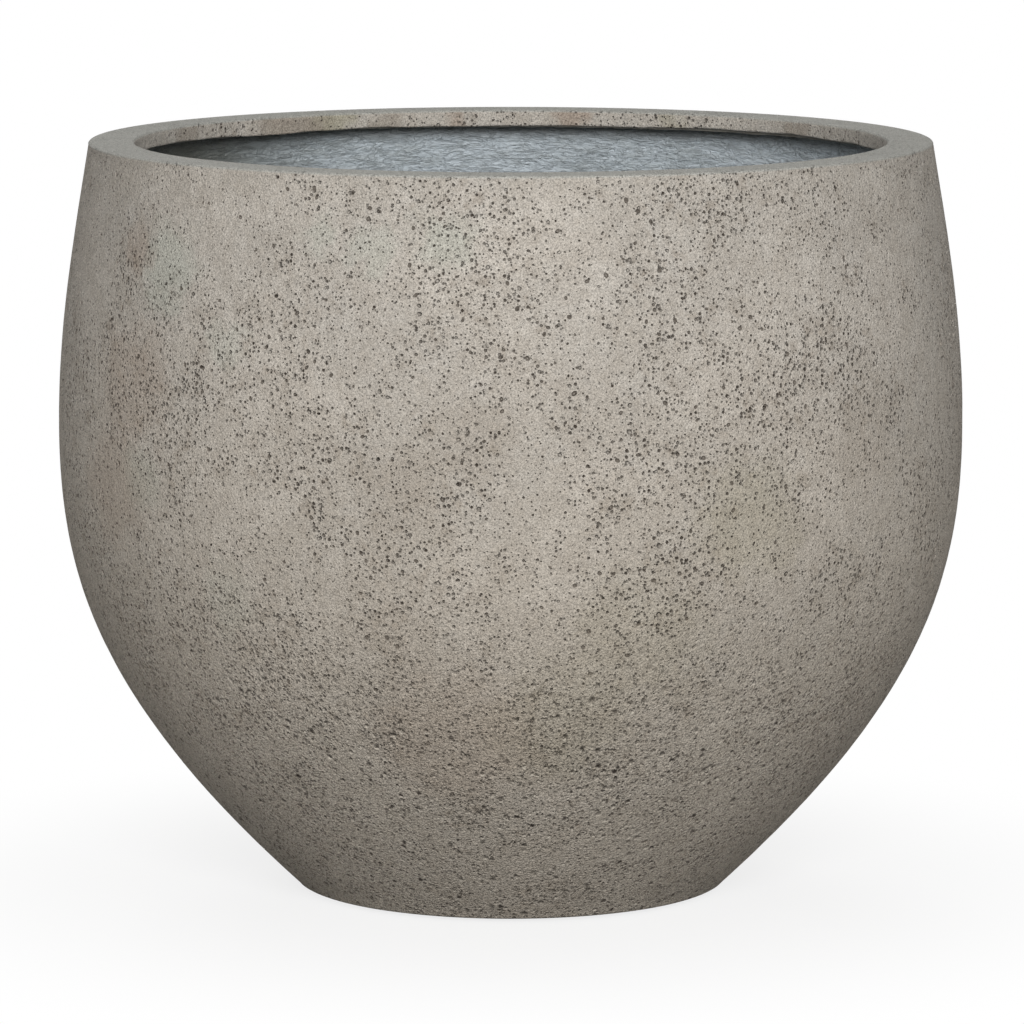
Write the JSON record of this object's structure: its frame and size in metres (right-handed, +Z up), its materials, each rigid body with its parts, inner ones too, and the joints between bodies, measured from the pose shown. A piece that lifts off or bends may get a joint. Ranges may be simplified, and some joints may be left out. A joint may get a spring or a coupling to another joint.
{
  "type": "bowl planter",
  "caption": "Round bowl-shaped floor planter in cast cement with a flat turned-in rim, a waterproof inner coat and a plugged floor drain.",
  "frame": {"origin": "centre of the footprint, on the floor under the pads", "axes": "+Z up along the bowl's axis"},
  "size_m": [0.87, 0.87, 0.7233],
  "materials": {
    "concrete_facing": "matt cast cement with pinholes and pale and brown clouding",
    "fibre_laminate": "matt glass-fibre cement, hand laid",
    "packed_core": "matt packed cement",
    "inner_coat": "satin blue-grey waterproof coat, wrinkled",
    "grey_plastic": "satin moulded plastic",
    "black_rubber": "matt moulded rubber"
  },
  "bodies": {
    "bowl": {"facing_shell": "concrete_facing", "fibre_backing": "fibre_laminate", "rim_core": "packed_core", "floor_disc": "packed_core", "inner_coating": "inner_coat", "drain_sleeve": "grey_plastic", "floor_pad_1": "black_rubber", "floor_pad_2": "black_rubber", "floor_pad_3": "black_rubber", "floor_pad_4": "black_rubber"},
    "plug": {"drain_plug": "black_rubber"}
  },
  "joints": [
    {"name": "plug_lift", "type": "slide", "parent": "bowl", "child": "plug", "axis": [0, 0, 1], "range_m": [0, 0.75]}
  ]
}
